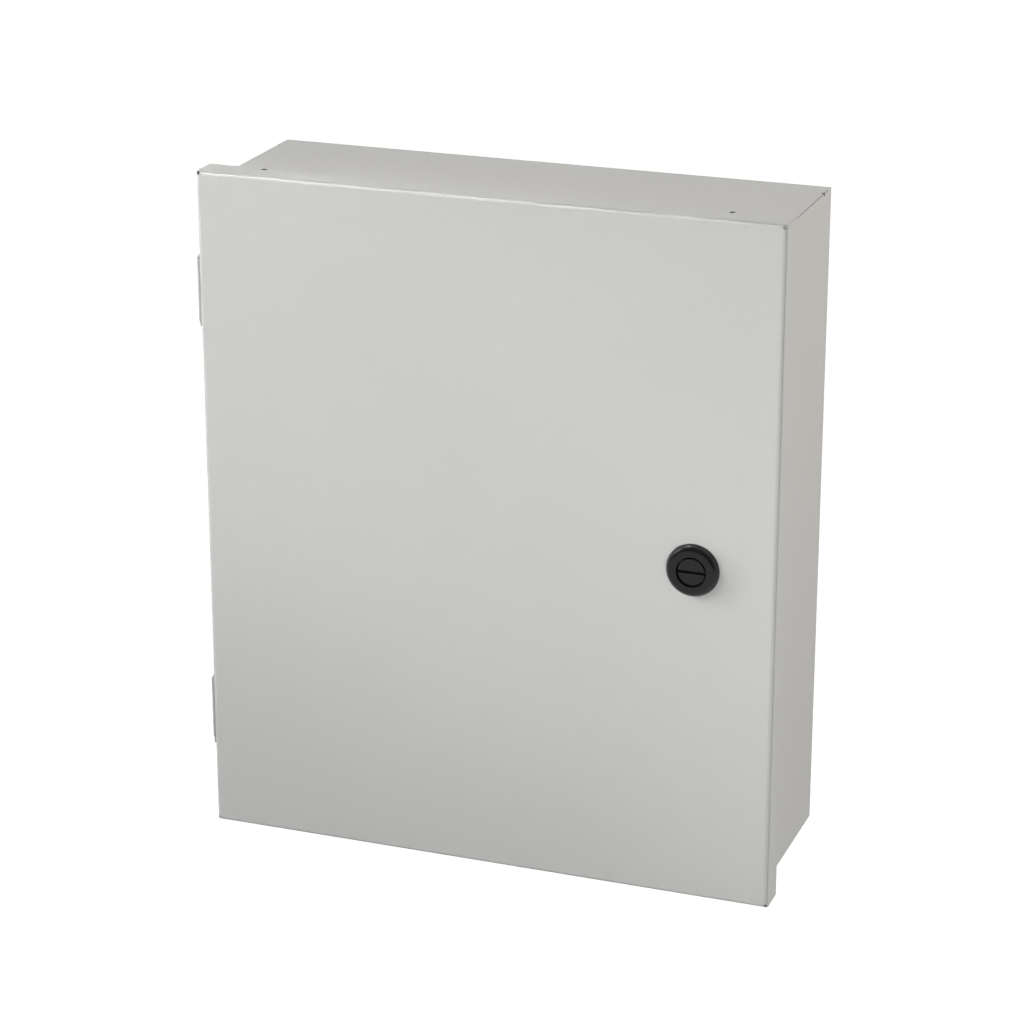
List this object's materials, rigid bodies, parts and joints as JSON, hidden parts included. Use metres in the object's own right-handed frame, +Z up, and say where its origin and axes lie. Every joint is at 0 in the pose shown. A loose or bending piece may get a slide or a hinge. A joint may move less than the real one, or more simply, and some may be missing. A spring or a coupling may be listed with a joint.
{
  "type": "wall-mounted electrical enclosure",
  "caption": "Shallow wall-mounted steel enclosure: folded box, hinged wrap-round door pan, quarter-turn coin latch and inner mounting panel.",
  "frame": {"origin": "centre of the wall-hole pattern on the outer face of the back", "axes": "+X to the right seen from the front, +Y into the wall, +Z up"},
  "size_m": [0.3216, 0.1104, 0.3682],
  "materials": {
    "powder_coat": "satin light grey powder coat with a fine texture",
    "panel_coat": "smooth white powder coat",
    "foam": "matt black foamed-in-place gasket",
    "latch_black": "black moulded plastic, semi-gloss",
    "plated_steel": "bright zinc plate"
  },
  "bodies": {
    "box": {"enclosure_body": "powder_coat", "mounting_panel": "panel_coat", "upper_hinge_body_leaf": "powder_coat", "upper_hinge_pin": "plated_steel", "lower_hinge_body_leaf": "powder_coat", "lower_hinge_pin": "plated_steel", "body_earth_stud": "plated_steel", "body_earth_nut": "plated_steel", "panel_stud_top_left": "plated_steel", "panel_nut_top_left": "plated_steel", "panel_stud_top_right": "plated_steel", "panel_nut_top_right": "plated_steel", "panel_stud_bottom_left": "plated_steel", "panel_nut_bottom_left": "plated_steel", "panel_stud_bottom_right": "plated_steel", "panel_nut_bottom_right": "plated_steel"},
    "door": {"door_panel": "powder_coat", "door_gasket": "foam", "latch_housing": "latch_black", "latch_nut": "plated_steel", "upper_hinge_door_leaf": "powder_coat", "lower_hinge_door_leaf": "powder_coat", "door_earth_stud": "plated_steel", "door_earth_nut": "plated_steel"},
    "latch": {"latch_rotor": "latch_black", "latch_cam": "plated_steel", "cam_washer": "plated_steel", "cam_screw": "plated_steel"}
  },
  "joints": [
    {"name": "door_hinge", "type": "hinge", "parent": "box", "child": "door", "pos_m": [-0.16096, -0.0944, 0], "axis": [0, 0, -1], "range_deg": [0, 140]},
    {"name": "latch_turn", "type": "hinge", "parent": "door", "child": "latch", "pos_m": [0.1138, -0.0982, 0], "axis": [0, 1, 0], "range_deg": [0, 90]}
  ]
}
